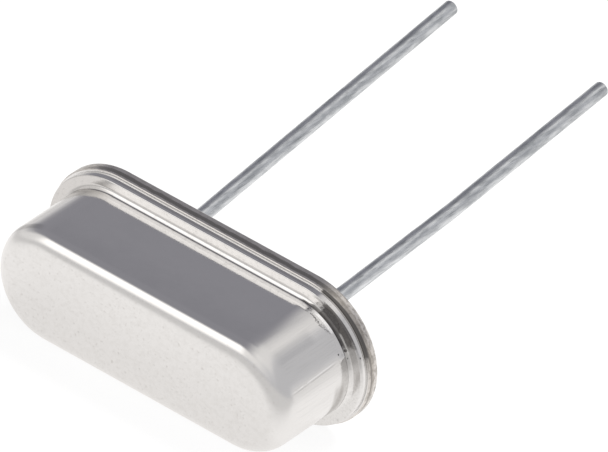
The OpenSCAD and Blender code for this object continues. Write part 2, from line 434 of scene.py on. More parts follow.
def add_node(tree, kind, *values, inputs=None, **settings):
    """Adds a shader node and returns its first live output.

    The values go to the node's live inputs in their order, and those in inputs go by name. A
    value that is a socket is linked, and any other is set.
    """
    node = tree.nodes.new("ShaderNode" + kind)
    for name, value in settings.items():
        setattr(node, name, value)
    live = [socket for socket in node.inputs if socket.enabled]
    named = [(node.inputs[name], value) for name, value in (inputs or {}).items()]
    for socket, value in [*zip(live, values), *named]:
        if isinstance(value, bpy.types.NodeSocket):
            tree.links.new(value, socket)
        else:
            socket.default_value = value
    outputs = [socket for socket in node.outputs if socket.enabled]
    return outputs[0] if outputs else None


# %% Masks
def fade(tree, value, start, end):
    """Rises softly from 0 to 1 while the value goes from start to end, up or down."""
    return add_node(tree, "MapRange", value, start, end, interpolation_type="SMOOTHSTEP")


def overlap(tree, *masks):
    """Is 1 where all the masks are 1. A plain number among them weakens the result."""
    result = masks[0]
    for mask in masks[1:]:
        result = add_node(tree, "Math", result, mask, operation="MULTIPLY")
    return result


def strongest(tree, *masks):
    """The strongest of the masks at each point."""
    result = masks[0]
    for mask in masks[1:]:
        result = add_node(tree, "Math", result, mask, operation="MAXIMUM")
    return result


def between(tree, value, low, high, soft):
    """Is 1 between low and high, with soft edges outside them, and 0 elsewhere."""
    return overlap(tree, fade(tree, value, low - soft, low), fade(tree, value, high + soft, high))


def tinted(tree, colour, hex_colour, *masks):
    """The colour, turned to another where all the masks are 1."""
    mask = overlap(tree, *masks)
    return add_node(tree, "Mix", mask, colour, linear(hex_colour), data_type="RGBA")


# %% Start and keep a finish
finishes = {}


def new_material(name):
    """An empty node material and its tree."""
    material = bpy.data.materials.new(name)
    material.use_nodes = True
    material.node_tree.nodes.clear()
    return material, material.node_tree


def keep(slot, material):
    """Keeps a finish under its slot's name."""
    finishes[slot] = material
    print(material.name, "has", len(material.node_tree.nodes), "nodes")


# %% Places and patterns
def upright_place(tree):
    """The place on the part in millimetres, turned back so that z is the height."""
    place = add_node(tree, "TexCoord").node.outputs["Object"]
    turned = {"Vector": place, "Rotation": (-LIE_DOWN, 0, 0), "Scale": (1 / MM,) * 3}
    return add_node(tree, "Mapping", inputs=turned)


def clouds(tree, place, per_mm, detail=2.0, roughness=0.5):
    """A cloudy pattern from 0 to 1, with so many clouds per millimetre along x, y and z."""
    counts = per_mm if isinstance(per_mm, tuple) else (per_mm,) * 3
    spread = add_node(tree, "Mapping", inputs={"Vector": place, "Scale": counts})
    return add_node(tree, "TexNoise", spread, 1.0, detail, roughness)


def ragged(tree, place, value, per_mm, amount):
    """Moves a value to and fro by a cloudy pattern, so that an edge drawn with it is ragged."""
    pattern = clouds(tree, place, per_mm, 4.0, 0.7)
    least = add_node(tree, "Math", value, amount, operation="SUBTRACT")
    return add_node(tree, "Math", pattern, 2 * amount, least, operation="MULTIPLY_ADD")


# %% [markdown]
# ## Where things are on the can and the base
# Marks are placed as a maker would point to them: so far along the can, so high above the seat,
# so far out from the middle line, and at such an angle round the right end. All lengths are in
# millimetres. The angle is 0 on the upper side wall, 90 degrees at the very end and 180 on the
# lower side wall.

# %% Places on the can
END = STRAIGHT / 2 / MM
CAN_AXIS = (0, -math.cos(NOSE_DIP), -math.sin(NOSE_DIP))


def layout(tree):
    """Where a point lies on the part. Its reach is how far along it is, to either side."""
    place = upright_place(tree)
    along, across, height = add_node(tree, "SeparateXYZ", place).node.outputs
    reach = add_node(tree, "Math", along, operation="ABSOLUTE")
    past_end = add_node(tree, "Math", reach, END, operation="SUBTRACT")
    past_end = add_node(tree, "Math", past_end, 0.0, operation="MAXIMUM")
    squares = [add_node(tree, "Math", part, 2.0, operation="POWER") for part in (past_end, across)]
    out = add_node(tree, "Math", add_node(tree, "Math", *squares, operation="ADD"), operation="SQRT")
    right = add_node(tree, "Math", along, END, operation="SUBTRACT")
    right = add_node(tree, "Math", right, 0.0, operation="MAXIMUM")
    angle = add_node(tree, "Math", right, across, operation="ARCTAN2")
    angle = add_node(tree, "Math", angle, operation="DEGREES")
    return SimpleNamespace(
        place=place, along=along, reach=reach, height=height, out=out, angle=angle)


def round_end(angle, out, height):
    """The point at an angle round the right end."""
    turn = math.radians(angle)
    return (END + out * math.sin(turn), out * math.cos(turn), height)


# %% [markdown]
# ## Painted shade round the right end
# Painted shade and dark reflection are laid in a dark arc round one end, in the hollow beside the
# wall and on the ledge of the base below it. The arc is drawn by angle, and a cloudy pattern makes
# its ends ragged. It reaches a hair lower the further round it is.

# %% The painted dark arc
ARC_SHADE_START = 0.03
ARC_SHADE_REACH = 0.001
DEEP_SHARE, FAINT_SHARE = 0.62, 0.38
FADE_IN, FADE_OUT = 5, 8
TAIL_END, TAIL_START = 105, 60
# The arc's ends are ragged, in tongues about 0.2 mm wide.
TONGUES_PER_MM = 5.0
TONGUE_DEGREES = 8


def shade_arc(tree, spot, start, end):
    """Painted shade: the dark arc round the right end, with a faint tail that fades out past the very
    end.
    """
    angle = ragged(tree, spot.place, spot.angle, TONGUES_PER_MM, TONGUE_DEGREES)
    begun = fade(tree, angle, start, start + FADE_IN)
    deep = overlap(tree, begun, fade(tree, angle, end + FADE_OUT, end), DEEP_SHARE)
    tail = overlap(tree, begun, fade(tree, angle, TAIL_END, TAIL_START))
    return add_node(tree, "Math", tail, FAINT_SHARE, deep, operation="MULTIPLY_ADD")


def shade_arc_height(tree, spot):
    """The height as the painted dark arc sees it, which grows a little with the angle."""
    lowered = add_node(tree, "Math", spot.height, ARC_SHADE_START, operation="SUBTRACT")
    return add_node(tree, "Math", spot.angle, ARC_SHADE_REACH, lowered, operation="MULTIPLY_ADD")


# %% Painted shade in small dents
# A dent's outline is uneven by steps of about 0.08 mm.
NICK_EDGE_PER_MM = 12.0
NICK_CORE = 0.6
NICKS = (
    (round_end(60, 1.82, 0.68), 0.06), (round_end(67, 1.81, 0.68), 0.03),
    (round_end(68, 2.15, 0.55), 0.04), (round_end(60, 1.79, 0.93), 0.03))


def dent_shade(tree, place, at, size):
    """Painted shade in a small dent's hollow round a point, with an uneven outline."""
    distance = add_node(tree, "VectorMath", place, at, operation="DISTANCE")
    distance = ragged(tree, place, distance, NICK_EDGE_PER_MM, size / 2)
    return fade(tree, distance, size, size * NICK_CORE)


# %% The can's painted shade
LIGHTENED_SHARE = 0.6
ROOT_SHADE_DROP = 0.03
ROOT_SHADE_STRENGTH, CREASE_SHADE_STRENGTH = 0.85, 0.85
CREASE_MIDDLE = 28.0
CREASE_BOW = 0.0006
CREASE_WAVE = 0.12
# The crease waves every 0.11 mm or so, and is broken by clean gaps of about 0.05 mm.
CREASE_WAVES_PER_MM = 9.0
CREASE_GAPS_PER_MM = 20.0


def can_painted_shade(tree, spot):
    """How dark the painted shade at the foot of the can is: 0 is none and 1 is full shade."""
    height, angle = spot.height, spot.angle
    # Painted shade in the hollow beside the wall round the right end, lighter in one small spot.
    hollow = fade(tree, shade_arc_height(tree, spot), 0.595, 0.61)
    lightened = overlap(tree, between(tree, spot.out, 1.855, 1.895, 0.015), between(tree, angle, 47, 62, 3))
    kept = add_node(tree, "Math", lightened, -LIGHTENED_SHARE, 1.0, operation="MULTIPLY_ADD")
    hollow = overlap(tree, hollow, fade(tree, height, 0.755, 0.735), kept)
    shaded_arc = overlap(tree, shade_arc(tree, spot, 17.5, 54), hollow)

    # Painted shade in a line along the root of the wall, near the right end.
    raised = fade(tree, angle, 14, 8)
    root_shade_start = add_node(tree, "Math", raised, -ROOT_SHADE_DROP, height, operation="MULTIPLY_ADD")
    root_shade = overlap(tree, fade(tree, root_shade_start, 0.655, 0.665), fade(tree, height, 0.745, 0.735))
    root_shade = overlap(tree, root_shade, between(tree, angle, 4, 40, 4), ROOT_SHADE_STRENGTH)

    # The crease is real, and its dark wavy line is painted shade.
    bow = add_node(tree, "Math", angle, CREASE_MIDDLE, operation="SUBTRACT")
    bow = add_node(tree, "Math", bow, 2.0, operation="POWER")
    wave = add_node(tree, "Math", bow, CREASE_BOW, height, operation="MULTIPLY_ADD")
    wave = ragged(tree, spot.place, wave, CREASE_WAVES_PER_MM, CREASE_WAVE)
    broken = fade(tree, clouds(tree, spot.place, CREASE_GAPS_PER_MM, 3.0, 0.7), 0.40, 0.60)
    crease_shade = overlap(tree, between(tree, wave, 0.93, 0.99, 0.02), between(tree, angle, 12, 38, 6))
    crease_shade = overlap(tree, crease_shade, broken, CREASE_SHADE_STRENGTH)

    # Painted shade in each dent.
    dent_shades = [dent_shade(tree, spot.place, at, size) for at, size in NICKS]
    return strongest(tree, shaded_arc, root_shade, crease_shade, *dent_shades)


# %% [markdown]
# ## Nickel-plated drawn sheet
# The can is drawn from sheet that is plated with nickel, so it is a warm, pale grey mirror with a
# soft bloom. The flat sides stay almost mirror smooth. The ends, where the sheet was stretched,
# are a little rougher, with fine lines from the drawing die, and the top is satin with tiny dark
# pits. Handling has left faint hazes and worn lines, a crease and a few dents at the foot near
# the right end, and a scratch on the end. Shade and highlights are painted into the colour too:
# painted shade in the crease, the dents, the root of the wall near the right end, the foot of each
# end and the left end's top edge, and a painted highlight on the crease's sliver and beside the
# scratch. One plain metal would look unused, so the wear is laid over the clean colour mask by mask.

# %% The clean metal's colour
# GLINT is the white of the painted highlights.
NICKEL, GLINT = "e4e3e2", "ffffff"
FOOT_LINE, RIM_LINE, HAZE = "c9c7c6", "cccac9", "b4b4b6"
# The greys for the foot of the right end, the foot of the left end and the left end's top edge are
# painted shade.
END_FOOT_SHADE, END_WALL, LEFT_FOOT_SHADE, LEFT_EDGE_SHADE = "c4c2c0", "b6b6b8", "d0cecc", "9c9a98"
END_WALL_SHARE, LEFT_EDGE_SHADE_SHARE = 0.35, 0.45
# Fingers leave hazes of about half a millimetre.
HAZES_PER_MM = 2.0
HAZE_UNEVEN, HAZE_LEAST, HAZE_ABOVE = 0.25, -0.11, 0.13


def can_nickel(tree, spot):
    """The clean nickel, with faint hazes, worn lines, and painted shade at the foot of each end and the
    left end's top edge.
    """
    along, height, angle, out = spot.along, spot.height, spot.angle, spot.out
    side = overlap(tree, fade(tree, angle, 10, 4), fade(tree, spot.reach, END + 0.5, END))
    beside_foot = overlap(tree, between(tree, out, 1.885, 1.920, 0.01), fade(tree, height, 0.70, 0.68))
    colour = tinted(tree, linear(NICKEL), FOOT_LINE, side, beside_foot)
    rim = overlap(tree, fade(tree, out, 2.10, 2.12), between(tree, height, 0.46, 0.54, 0.02))
    colour = tinted(tree, colour, RIM_LINE, side, rim)

    blotches = clouds(tree, spot.place, HAZES_PER_MM, 5.0, 0.65)
    blotches = add_node(tree, "Math", blotches, HAZE_UNEVEN, HAZE_LEAST, operation="MULTIPLY_ADD")
    rising = fade(tree, height, 1.8, 3.0)
    haze = add_node(tree, "Math", rising, HAZE_ABOVE, blotches, operation="MULTIPLY_ADD")
    colour = tinted(tree, colour, HAZE, side, haze, fade(tree, height, 3.08, 2.98))

    # Painted shade at the foot of the right end.
    end_foot_shade = overlap(tree, fade(tree, angle, 82, 96), between(tree, height, 0.98, 1.20, 0.14))
    colour = tinted(tree, colour, END_FOOT_SHADE, end_foot_shade)
    end_wall = overlap(tree, between(tree, angle, 31, 37, 6), between(tree, height, 1.6, 2.7, 0.3))
    colour = tinted(tree, colour, END_WALL, end_wall, END_WALL_SHARE)

    # Painted shade at the foot of the left end.
    left_foot_shade = overlap(tree, fade(tree, height, 1.1, 0.8), fade(tree, height, 0.58, 0.64))
    colour = tinted(tree, colour, LEFT_FOOT_SHADE, fade(tree, along, 0.3 - END, -END - 0.7), left_foot_shade)
    # A painted shade line at the left end's top edge.
    left_end = fade(tree, along, -END - 0.3, -END - 0.75)
    left_edge_shade = overlap(tree, left_end, between(tree, height, 2.91, 3.00, 0.07))
    return tinted(tree, colour, LEFT_EDGE_SHADE, left_edge_shade, LEFT_EDGE_SHADE_SHARE)


# %% The wear on the metal
# The die's real lines are about 0.01 mm apart, too fine to show. They are drawn 0.05 mm apart.
DIE_LINES_PER_MM = (20, 20, 0.8)
# A scratch skips every 0.2 mm or so, the mottle's spots are 0.14 mm wide and the worn patches
# 0.12 mm. The real pits are about 0.02 mm and are drawn 0.09 mm wide so that they show.
SCRATCH_SKIPS_PER_MM = 5.0
MOTTLE_PER_MM = 7.0
WORN_PER_MM = 8.0
PITS_PER_MM = 11.0
SCRATCH_SLANT = 1.2
LINE_GREY, MOTTLE_GREY, PIT_GREY, WORN_GREY = "a9a7a6", "c4c1bd", "a8a29c", "9c9a98"
LINE_SHARE, MOTTLE_SHARE, PIT_SHARE, WORN_SHARE = 0.14, 0.16, 0.25, 0.3
LIGHT_SHARE, DARK_SHARE = 0.5, 0.35


def can_wear(tree, spot, colour, end, top):
    """Adds drawing lines, a scratch with a painted highlight, the top's mottle and pits, and the foot's
    worn patches.
    """
    place, height = spot.place, spot.height
    lines = fade(tree, clouds(tree, place, DIE_LINES_PER_MM, 5.0, 0.7), 0.45, 0.70)
    lines = overlap(tree, lines, end, fade(tree, height, 3.0, 2.7))
    colour = tinted(tree, colour, LINE_GREY, lines, LINE_SHARE)

    course = add_node(tree, "Math", height, -SCRATCH_SLANT, spot.angle, operation="MULTIPLY_ADD")
    scratch = fade(tree, clouds(tree, place, SCRATCH_SKIPS_PER_MM), 0.30, 0.50)
    scratch = overlap(tree, between(tree, height, 1.4, 2.6, 0.4), scratch)
    # The scratch is real wear, and its white line is a painted highlight beside its darker line.
    light, dark = between(tree, course, 62.2, 63.0, 0.5), between(tree, course, 64.0, 64.6, 0.5)
    colour = tinted(tree, colour, GLINT, light, scratch, LIGHT_SHARE)
    colour = tinted(tree, colour, LINE_GREY, dark, scratch, DARK_SHARE)

    mottle = fade(tree, clouds(tree, place, MOTTLE_PER_MM, 5.0, 0.7), 0.42, 0.66)
    colour = tinted(tree, colour, MOTTLE_GREY, mottle, top, MOTTLE_SHARE)
    pits = fade(tree, clouds(tree, place, PITS_PER_MM, 1.0), 0.64, 0.76)
    colour = tinted(tree, colour, PIT_GREY, pits, top, PIT_SHARE)
    worn = fade(tree, clouds(tree, place, WORN_PER_MM, 4.0, 0.7), 0.5, 0.75)
    foot = overlap(tree, fade(tree, height, 1.1, 0.8), fade(tree, height, 0.50, 0.56))
    return tinted(tree, colour, WORN_GREY, worn, foot, WORN_SHARE)


# %% [markdown]
# ## Sheet that isn't quite true
# Drawing and welding leave the sheet a hair off its plain shape, too little to model but enough
# to shift a reflection. The direction that the surface faces is turned by that hair, which the
# mesh could do only with far more faces. Round the first few degrees of the right end the foot
# still runs straight, the wall above it twists, the foot further round is flared by the weld,
# and its crease throws a bright sliver. The sliver is also painted white into the colour, as a
# painted highlight.

# %% The direction that the can's surface faces
SLIVER_TILT, FLARE_TILT, DRAWN_TILT = 0.8, 0.31, -0.03
STRAIGHTENED = 0.85
TWIST_LOW, TWIST_HIGH = 0.08, -0.06


def can_facing(tree, spot, sliver_highlight):
    """The surface's direction, tilted towards the can's top, straightened and twisted."""
    height, angle = spot.height, spot.angle
    facing = add_node(tree, "NewGeometry").node.outputs["Normal"]

    right_end = fade(tree, spot.along, END - 0.2, END)
    straight = overlap(tree, right_end, fade(tree, angle, 15, 10), fade(tree, height, 0.98, 0.94))
    kept = add_node(tree, "Math", straight, -STRAIGHTENED, 1.0, operation="MULTIPLY_ADD")
    kept = add_node(tree, "CombineXYZ", kept, 1.0, 1.0)
    facing = add_node(tree, "VectorMath", facing, kept, operation="MULTIPLY")

    twist = add_node(tree, "Mix", fade(tree, height, 0.4, 3.0), TWIST_LOW, TWIST_HIGH)
    twisted = overlap(tree, between(tree, angle, 7, 13, 6), between(tree, height, 1.0, 2.98, 0.06))
    aside = add_node(tree, "CombineXYZ", overlap(tree, twisted, twist))
    facing = add_node(tree, "VectorMath", facing, aside, operation="ADD")

    flared = overlap(tree, between(tree, angle, 19, 62, 6), fade(tree, height, 0.98, 0.90))
    flared = overlap(tree, flared, fade(tree, height, 0.73, 0.75))
    bulged = overlap(tree, fade(tree, spot.out, 2.10, 2.13), between(tree, height, 0.46, 0.59, 0.02))
    flare = overlap(tree, strongest(tree, flared, bulged), FLARE_TILT)
    tilt = add_node(tree, "Math", sliver_highlight, SLIVER_TILT, flare, operation="MULTIPLY_ADD")
    drawn_in = overlap(tree, fade(tree, angle, 20, 12), between(tree, height, 0.90, 1.10, 0.04))
    tilt = add_node(tree, "Math", drawn_in, DRAWN_TILT, tilt, operation="MULTIPLY_ADD")
    up = add_node(tree, "VectorMath", CAN_AXIS, tilt, operation="SCALE")
    facing = add_node(tree, "VectorMath", facing, up, operation="ADD")
    return add_node(tree, "VectorMath", facing, operation="NORMALIZE")


# %% The can's finish
SIDE_ROUGH, END_ROUGH, END_WALL_ROUGH, TOP_ROUGH = 0.09, 0.13, 0.19, 0.20
LESS_ROUGH, MORE_ROUGH = 0.02, 0.04
SIDE_GRAIN, END_GRAIN = 0.0003, 0.0008
# Both greys are painted shade.
SHADE_GREY, DEEP_SHADE_GREY = "737170", "504e4d"
# The bloom's clouds are about 0.3 mm wide. The plating's real grain is a few thousandths of a
# millimetre, too fine to show, so it is drawn 0.07 mm wide.
BLOOM_PER_MM = 3.0
GRAIN_PER_MM = 14.0


def can_finish():
    """Nickel-plated drawn sheet with its marks, its wear, its painted shade and its painted highlight.
    Grain heights are in millimetres.
    """
    material, tree = new_material("nickel_plated_drawn_sheet")
    spot = layout(tree)
    top = fade(tree, spot.height, 3.2, 3.38)
    end = fade(tree, spot.reach, END - 0.2, END + 0.8)
    sliver_highlight = overlap(
        tree, between(tree, spot.height, 0.755, 0.82, 0.03), between(tree, spot.angle, 22, 38, 6))

    # The painted shade's grey, darker from 0.7 mm up.
    shade_colour = tinted(tree, linear(SHADE_GREY), DEEP_SHADE_GREY, fade(tree, spot.height, 0.66, 0.70))
    marks, clean = can_painted_shade(tree, spot), can_nickel(tree, spot)
    colour = add_node(tree, "Mix", marks, clean, shade_colour, data_type="RGBA")
    # The crease's bright sliver is a painted highlight, white in the colour.
    colour = tinted(tree, colour, GLINT, sliver_highlight)
    colour = can_wear(tree, spot, colour, end, top)

    end_wall = overlap(tree, end, fade(tree, spot.height, 0.9, 1.3))
    rough = add_node(tree, "Mix", end, SIDE_ROUGH, END_ROUGH)
    rough = add_node(tree, "Mix", end_wall, rough, END_WALL_ROUGH)
    rough = add_node(tree, "Mix", top, rough, TOP_ROUGH)
    least = add_node(tree, "Math", rough, LESS_ROUGH, operation="SUBTRACT")
    bloom = clouds(tree, spot.place, BLOOM_PER_MM, 5.0, 0.6)
    rough = add_node(tree, "Math", bloom, MORE_ROUGH, least, operation="MULTIPLY_ADD")

    grain = add_node(tree, "Math", end, END_GRAIN, SIDE_GRAIN, operation="MULTIPLY_ADD")
    grain = overlap(tree, clouds(tree, spot.place, GRAIN_PER_MM, 3.0), grain)
    facing = can_facing(tree, spot, sliver_highlight)
    bump = add_node(tree, "Bump", inputs={"Height": grain, "Distance": MM, "Normal": facing})
    shader = {"Base Color": colour, "Metallic": 1.0, "Roughness": rough, "Normal": bump}
    add_node(tree, "OutputMaterial", add_node(tree, "BsdfPrincipled", inputs=shader))
    return material


keep("can_steel", can_finish())

# %% [markdown]
# ## Nickel-plated stamped plate
# The base is blanked from thicker plate. A punch first shears the edge smooth and then tears it,
# so the rim has a bright band next to the seating face and a darker, rougher band above it. The
# ledge beside the can's flange is painted dark along the same arc as the can, as painted shade,
# and a painted shade line runs along the rim's upper edge round the right end. The bands could be
# faces with materials of their own, but masks by height can be ragged, as a tear is.

# %% The base's finish
RIM_GREY, TORN_GREY, TORN_END_GREY = "dad6d2", "9a9793", "bdb8b2"
# The ledge's dark grey and the rim line's grey are painted shade.
PUNCHED_GREY, ARC_SHADE_GREY, GAP_SHADE_GREY = "8f8a84", "6a6866", "8a8682"
PUNCHED_SHARE, PUNCHED_END_MORE, GAP_SHADE_SHARE = 0.25, 0.4, 0.8
PLATE_ROUGH, PATCH_ROUGH = 0.12, 0.2
PLATE_GRAIN, TORN_GRAIN = 0.001, 0.006
# The tear's edge wanders every 0.3 mm or so. The punch leaves dull patches on the rim, about
# 0.2 mm long and 0.1 mm high.
TEAR_PER_MM = 3.0
PUNCHED_PER_MM = (5, 5, 9)


def rim_metal(tree, spot, rim, torn, patches):
    """The rim's sheared and torn bands, with dull patches across them."""
    end = fade(tree, spot.reach, END + 0.2, END + 1.2)
    torn_colour = tinted(tree, linear(TORN_GREY), TORN_END_GREY, end)
    colour = add_node(tree, "Mix", torn, linear(RIM_GREY), torn_colour, data_type="RGBA")
    dulled = overlap(tree, fade(tree, patches, 0.42, 0.62), rim)
    share = add_node(tree, "Math", end, PUNCHED_END_MORE, PUNCHED_SHARE, operation="MULTIPLY_ADD")
    return tinted(tree, colour, PUNCHED_GREY, dulled, fade(tree, spot.height, 0.44, 0.36), share)


def base_finish():
    """Nickel-plated stamped plate. Grain heights are in millimetres."""
    material, tree = new_material("nickel_plated_stamped_plate")
    spot = layout(tree)
    rim = fade(tree, spot.out, 2.0, 2.2)
    torn_height = ragged(tree, spot.place, spot.height, TEAR_PER_MM, 0.05)
    torn = overlap(tree, between(tree, torn_height, 0.23, 0.33, 0.04), rim)
    patches = clouds(tree, spot.place, PUNCHED_PER_MM, 4.0, 0.65)
    colour = rim_metal(tree, spot, rim, torn, patches)

    # The ledge's dark arc is painted shade, along the same arc as the can's.
    ledge = fade(tree, shade_arc_height(tree, spot), 0.335, 0.365)
    ledge = overlap(tree, ledge, fade(tree, spot.out, 2.13, 2.16))
    dark = overlap(tree, shade_arc(tree, spot, 10, 68), ledge)
    unmarked = add_node(tree, "Math", 1.0, dark, operation="SUBTRACT")
    top = overlap(tree, fade(tree, spot.height, 0.41, 0.418), fade(tree, unmarked, 0.5, 1.0))
    colour = tinted(tree, colour, NICKEL, top)
    colour = tinted(tree, colour, ARC_SHADE_GREY, dark)
    # A painted shade line along the rim's upper edge round the right end.
    gap_shade = overlap(tree, fade(tree, spot.angle, 60, 74), between(tree, spot.height, 0.29, 0.33, 0.02))
    colour = tinted(tree, colour, GAP_SHADE_GREY, gap_shade, rim, GAP_SHADE_SHARE)

    rough = add_node(tree, "Math", patches, PATCH_ROUGH, PLATE_ROUGH, operation="MULTIPLY_ADD")
    grain = add_node(tree, "Math", torn, TORN_GRAIN, PLATE_GRAIN, operation="MULTIPLY_ADD")
    bump = {"Height": overlap(tree, patches, grain), "Distance": MM}
    shader = {"Base Color": colour, "Metallic": 1.0, "Roughness": rough}
    shader["Normal"] = add_node(tree, "Bump", inputs=bump)
    add_node(tree, "OutputMaterial", add_node(tree, "BsdfPrincipled", inputs=shader))
    return material


keep("base_steel", base_finish())

# %% [markdown]
# ## Tinned wire
# The wire was drawn through a die and dipped in tin, so it has fine lines along its length and
# small matt patches where the tin dulled. Lines could come from an image, but a cloudy pattern
# that is stretched along the wire follows it without a seam.

# %% The wire's finish
TIN, DULL_TIN, LINE_TIN = "dde0e3", "b4b8bc", "9ca0a3"
WIRE_ROUGH, DULL_ROUGH = 0.25, 0.15
WIRE_GRAIN = 0.004
# The real lines are about 0.01 mm apart, too fine to show. They are drawn 0.03 mm apart. The
# dull patches are about 0.14 mm wide and 0.6 mm long.
WIRE_LINES_PER_MM = (30, 30, 1.6)
PATCHES_PER_MM = (7, 7, 1.6)


def wire_finish():
    """Tinned drawn wire."""
    material, tree = new_material("tinned_drawn_wire")
    place = upright_place(tree)
    lines = clouds(tree, place, WIRE_LINES_PER_MM, 4.0, 0.6)
    dull = fade(tree, clouds(tree, place, PATCHES_PER_MM, 4.0, 0.6), 0.35, 0.70)
    colour = tinted(tree, linear(TIN), DULL_TIN, dull)
    colour = tinted(tree, colour, LINE_TIN, fade(tree, lines, 0.52, 0.76))
    rough = add_node(tree, "Math", dull, DULL_ROUGH, WIRE_ROUGH, operation="MULTIPLY_ADD")
    bump = {"Height": overlap(tree, lines, WIRE_GRAIN), "Distance": MM}
    shader = {"Base Color": colour, "Metallic": 1.0, "Roughness": rough}
    shader["Normal"] = add_node(tree, "Bump", inputs=bump)
    add_node(tree, "OutputMaterial", add_node(tree, "BsdfPrincipled", inputs=shader))
    return material


keep("lead_wire", wire_finish())

# %% [markdown]
# ## Sealing glass
# The beads are dark grey-green glass, melted in the hole. Tiny bubbles make it cloudy, so it lets
# almost no light through, and a glossy solid colour is truer than clear glass would be.

# %% The glass's finish
GLASS_DARK, GLASS_CLOUDY = "3d413f", "626763"
GLASS_ROUGH = 0.16
GLASS_IOR = 1.5
GLASS_WAVE = 0.004
# The bubbles gather in clouds about 0.17 mm wide.
BUBBLES_PER_MM = 6.0


def glass_finish():
    """Dark sealing glass, cloudy with bubbles."""
    material, tree = new_material("dark_sealing_glass")
    cloud = clouds(tree, upright_place(tree), BUBBLES_PER_MM, 4.0)
    colour = tinted(tree, linear(GLASS_DARK), GLASS_CLOUDY, cloud)
    bump = {"Height": overlap(tree, cloud, GLASS_WAVE), "Distance": MM}
    shader = {"Base Color": colour, "Roughness": GLASS_ROUGH, "IOR": GLASS_IOR}
    shader["Normal"] = add_node(tree, "Bump", inputs=bump)
    add_node(tree, "OutputMaterial", add_node(tree, "BsdfPrincipled", inputs=shader))
    return material


keep("seal_glass", glass_finish())

# %% [markdown]
# ## The pieces inside
# The clips are rolled nickel silver strip, with fine lines from the rollers. The quartz is lapped
# and etched, so it is clear but faintly frosted. The films are silver, evaporated on the lapped
# quartz. The adhesive is silver-filled epoxy, matt and grey. The can hides them, but each piece
# may be shown by itself, so none has a plain colour.

# %% The clips' finish
STRIP, STRIP_LINE = "d9d0bb", "c2b69c"
STRIP_ROUGH, LINE_ROUGH = 0.22, 0.15
# The rollers' lines are about 0.01 mm apart, drawn 0.025 mm apart so that they show.
ROLLED_LINES_PER_MM = (1.5, 40, 1.5)


def strip_finish():
    """Rolled nickel silver strip."""
    material, tree = new_material("rolled_nickel_silver_strip")
    lines = clouds(tree, upright_place(tree), ROLLED_LINES_PER_MM, 3.0)
    colour = tinted(tree, linear(STRIP), STRIP_LINE, lines)
    rough = add_node(tree, "Math", lines, LINE_ROUGH, STRIP_ROUGH, operation="MULTIPLY_ADD")
    shader = {"Base Color": colour, "Metallic": 1.0, "Roughness": rough}
    add_node(tree, "OutputMaterial", add_node(tree, "BsdfPrincipled", inputs=shader))
    return material


keep("clip_strip", strip_finish())

# %% The quartz's finish and the films'
# Lapping leaves a frost finer than 0.01 mm, drawn 0.025 mm wide so that it shows.
FROST_PER_MM = 40.0
FROST_HEIGHT = 0.002
QUARTZ, SILVER = "f4f7f8", "efece6"
QUARTZ_IOR = 1.544
QUARTZ_CLEAR = 0.85
CLEAR_ROUGH, FROST_ROUGH, SILVER_ROUGH = 0.2, 0.2, 0.35


def frosted(tree):
    """The frost that lapping leaves, as a pattern and as a bump."""
    frost = clouds(tree, upright_place(tree), FROST_PER_MM)
    bump = {"Height": overlap(tree, frost, FROST_HEIGHT), "Distance": MM}
    return frost, add_node(tree, "Bump", inputs=bump)


def quartz_finish():
    """Lapped and etched quartz."""
    material, tree = new_material("lapped_quartz")
    frost, bump = frosted(tree)
    rough = add_node(tree, "Math", frost, FROST_ROUGH, CLEAR_ROUGH, operation="MULTIPLY_ADD")
    shader = {"Base Color": linear(QUARTZ), "Roughness": rough, "IOR": QUARTZ_IOR}
    shader.update({"Transmission Weight": QUARTZ_CLEAR, "Normal": bump})
    add_node(tree, "OutputMaterial", add_node(tree, "BsdfPrincipled", inputs=shader))
    return material


def film_finish():
    """Silver evaporated on the lapped quartz."""
    material, tree = new_material("evaporated_silver")
    bump = frosted(tree)[1]
    shader = {"Base Color": linear(SILVER), "Metallic": 1.0, "Roughness": SILVER_ROUGH}
    shader["Normal"] = bump
    add_node(tree, "OutputMaterial", add_node(tree, "BsdfPrincipled", inputs=shader))
    return material


keep("quartz", quartz_finish())
keep("silver_film", film_finish())

# %% The adhesive's finish
EPOXY, FLAKE = "8f8c88", "c4c1bc"
EPOXY_METALLIC, EPOXY_ROUGH = 0.3, 0.6
FLAKE_HEIGHT = 0.01
# The real flakes are about 0.01 mm wide, drawn 0.03 mm wide so that they show.
FLAKES_PER_MM = 30.0


def adhesive_finish():
    """Silver-filled epoxy, grey with bright flakes."""
    material, tree = new_material("silver_filled_epoxy")
    flakes = clouds(tree, upright_place(tree), FLAKES_PER_MM)
    colour = tinted(tree, linear(EPOXY), FLAKE, fade(tree, flakes, 0.45, 0.65))
    bump = {"Height": overlap(tree, flakes, FLAKE_HEIGHT), "Distance": MM}
    shader = {"Base Color": colour, "Metallic": EPOXY_METALLIC, "Roughness": EPOXY_ROUGH}
    shader["Normal"] = add_node(tree, "Bump", inputs=bump)
    add_node(tree, "OutputMaterial", add_node(tree, "BsdfPrincipled", inputs=shader))
    return material


keep("adhesive", adhesive_finish())

# %% [markdown]
# ## Finishes on their pieces
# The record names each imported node's finish, so a loop can give every node the right one. The
# new outer pieces take theirs by hand.

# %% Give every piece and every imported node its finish
cap.data.materials.append(finishes["can_steel"])
base.data.materials.append(finishes["base_steel"])
for piece in wires.values():
    piece.data.materials.append(finishes["lead_wire"])
for piece in beads.values():
    piece.data.materials.append(finishes["seal_glass"])
for subpart in frame["record"]["subparts"]:
    node = frame["nodes"][subpart["node"]]
    node.data.materials.clear()
    node.data.materials.append(finishes[subpart["material_slot"]])

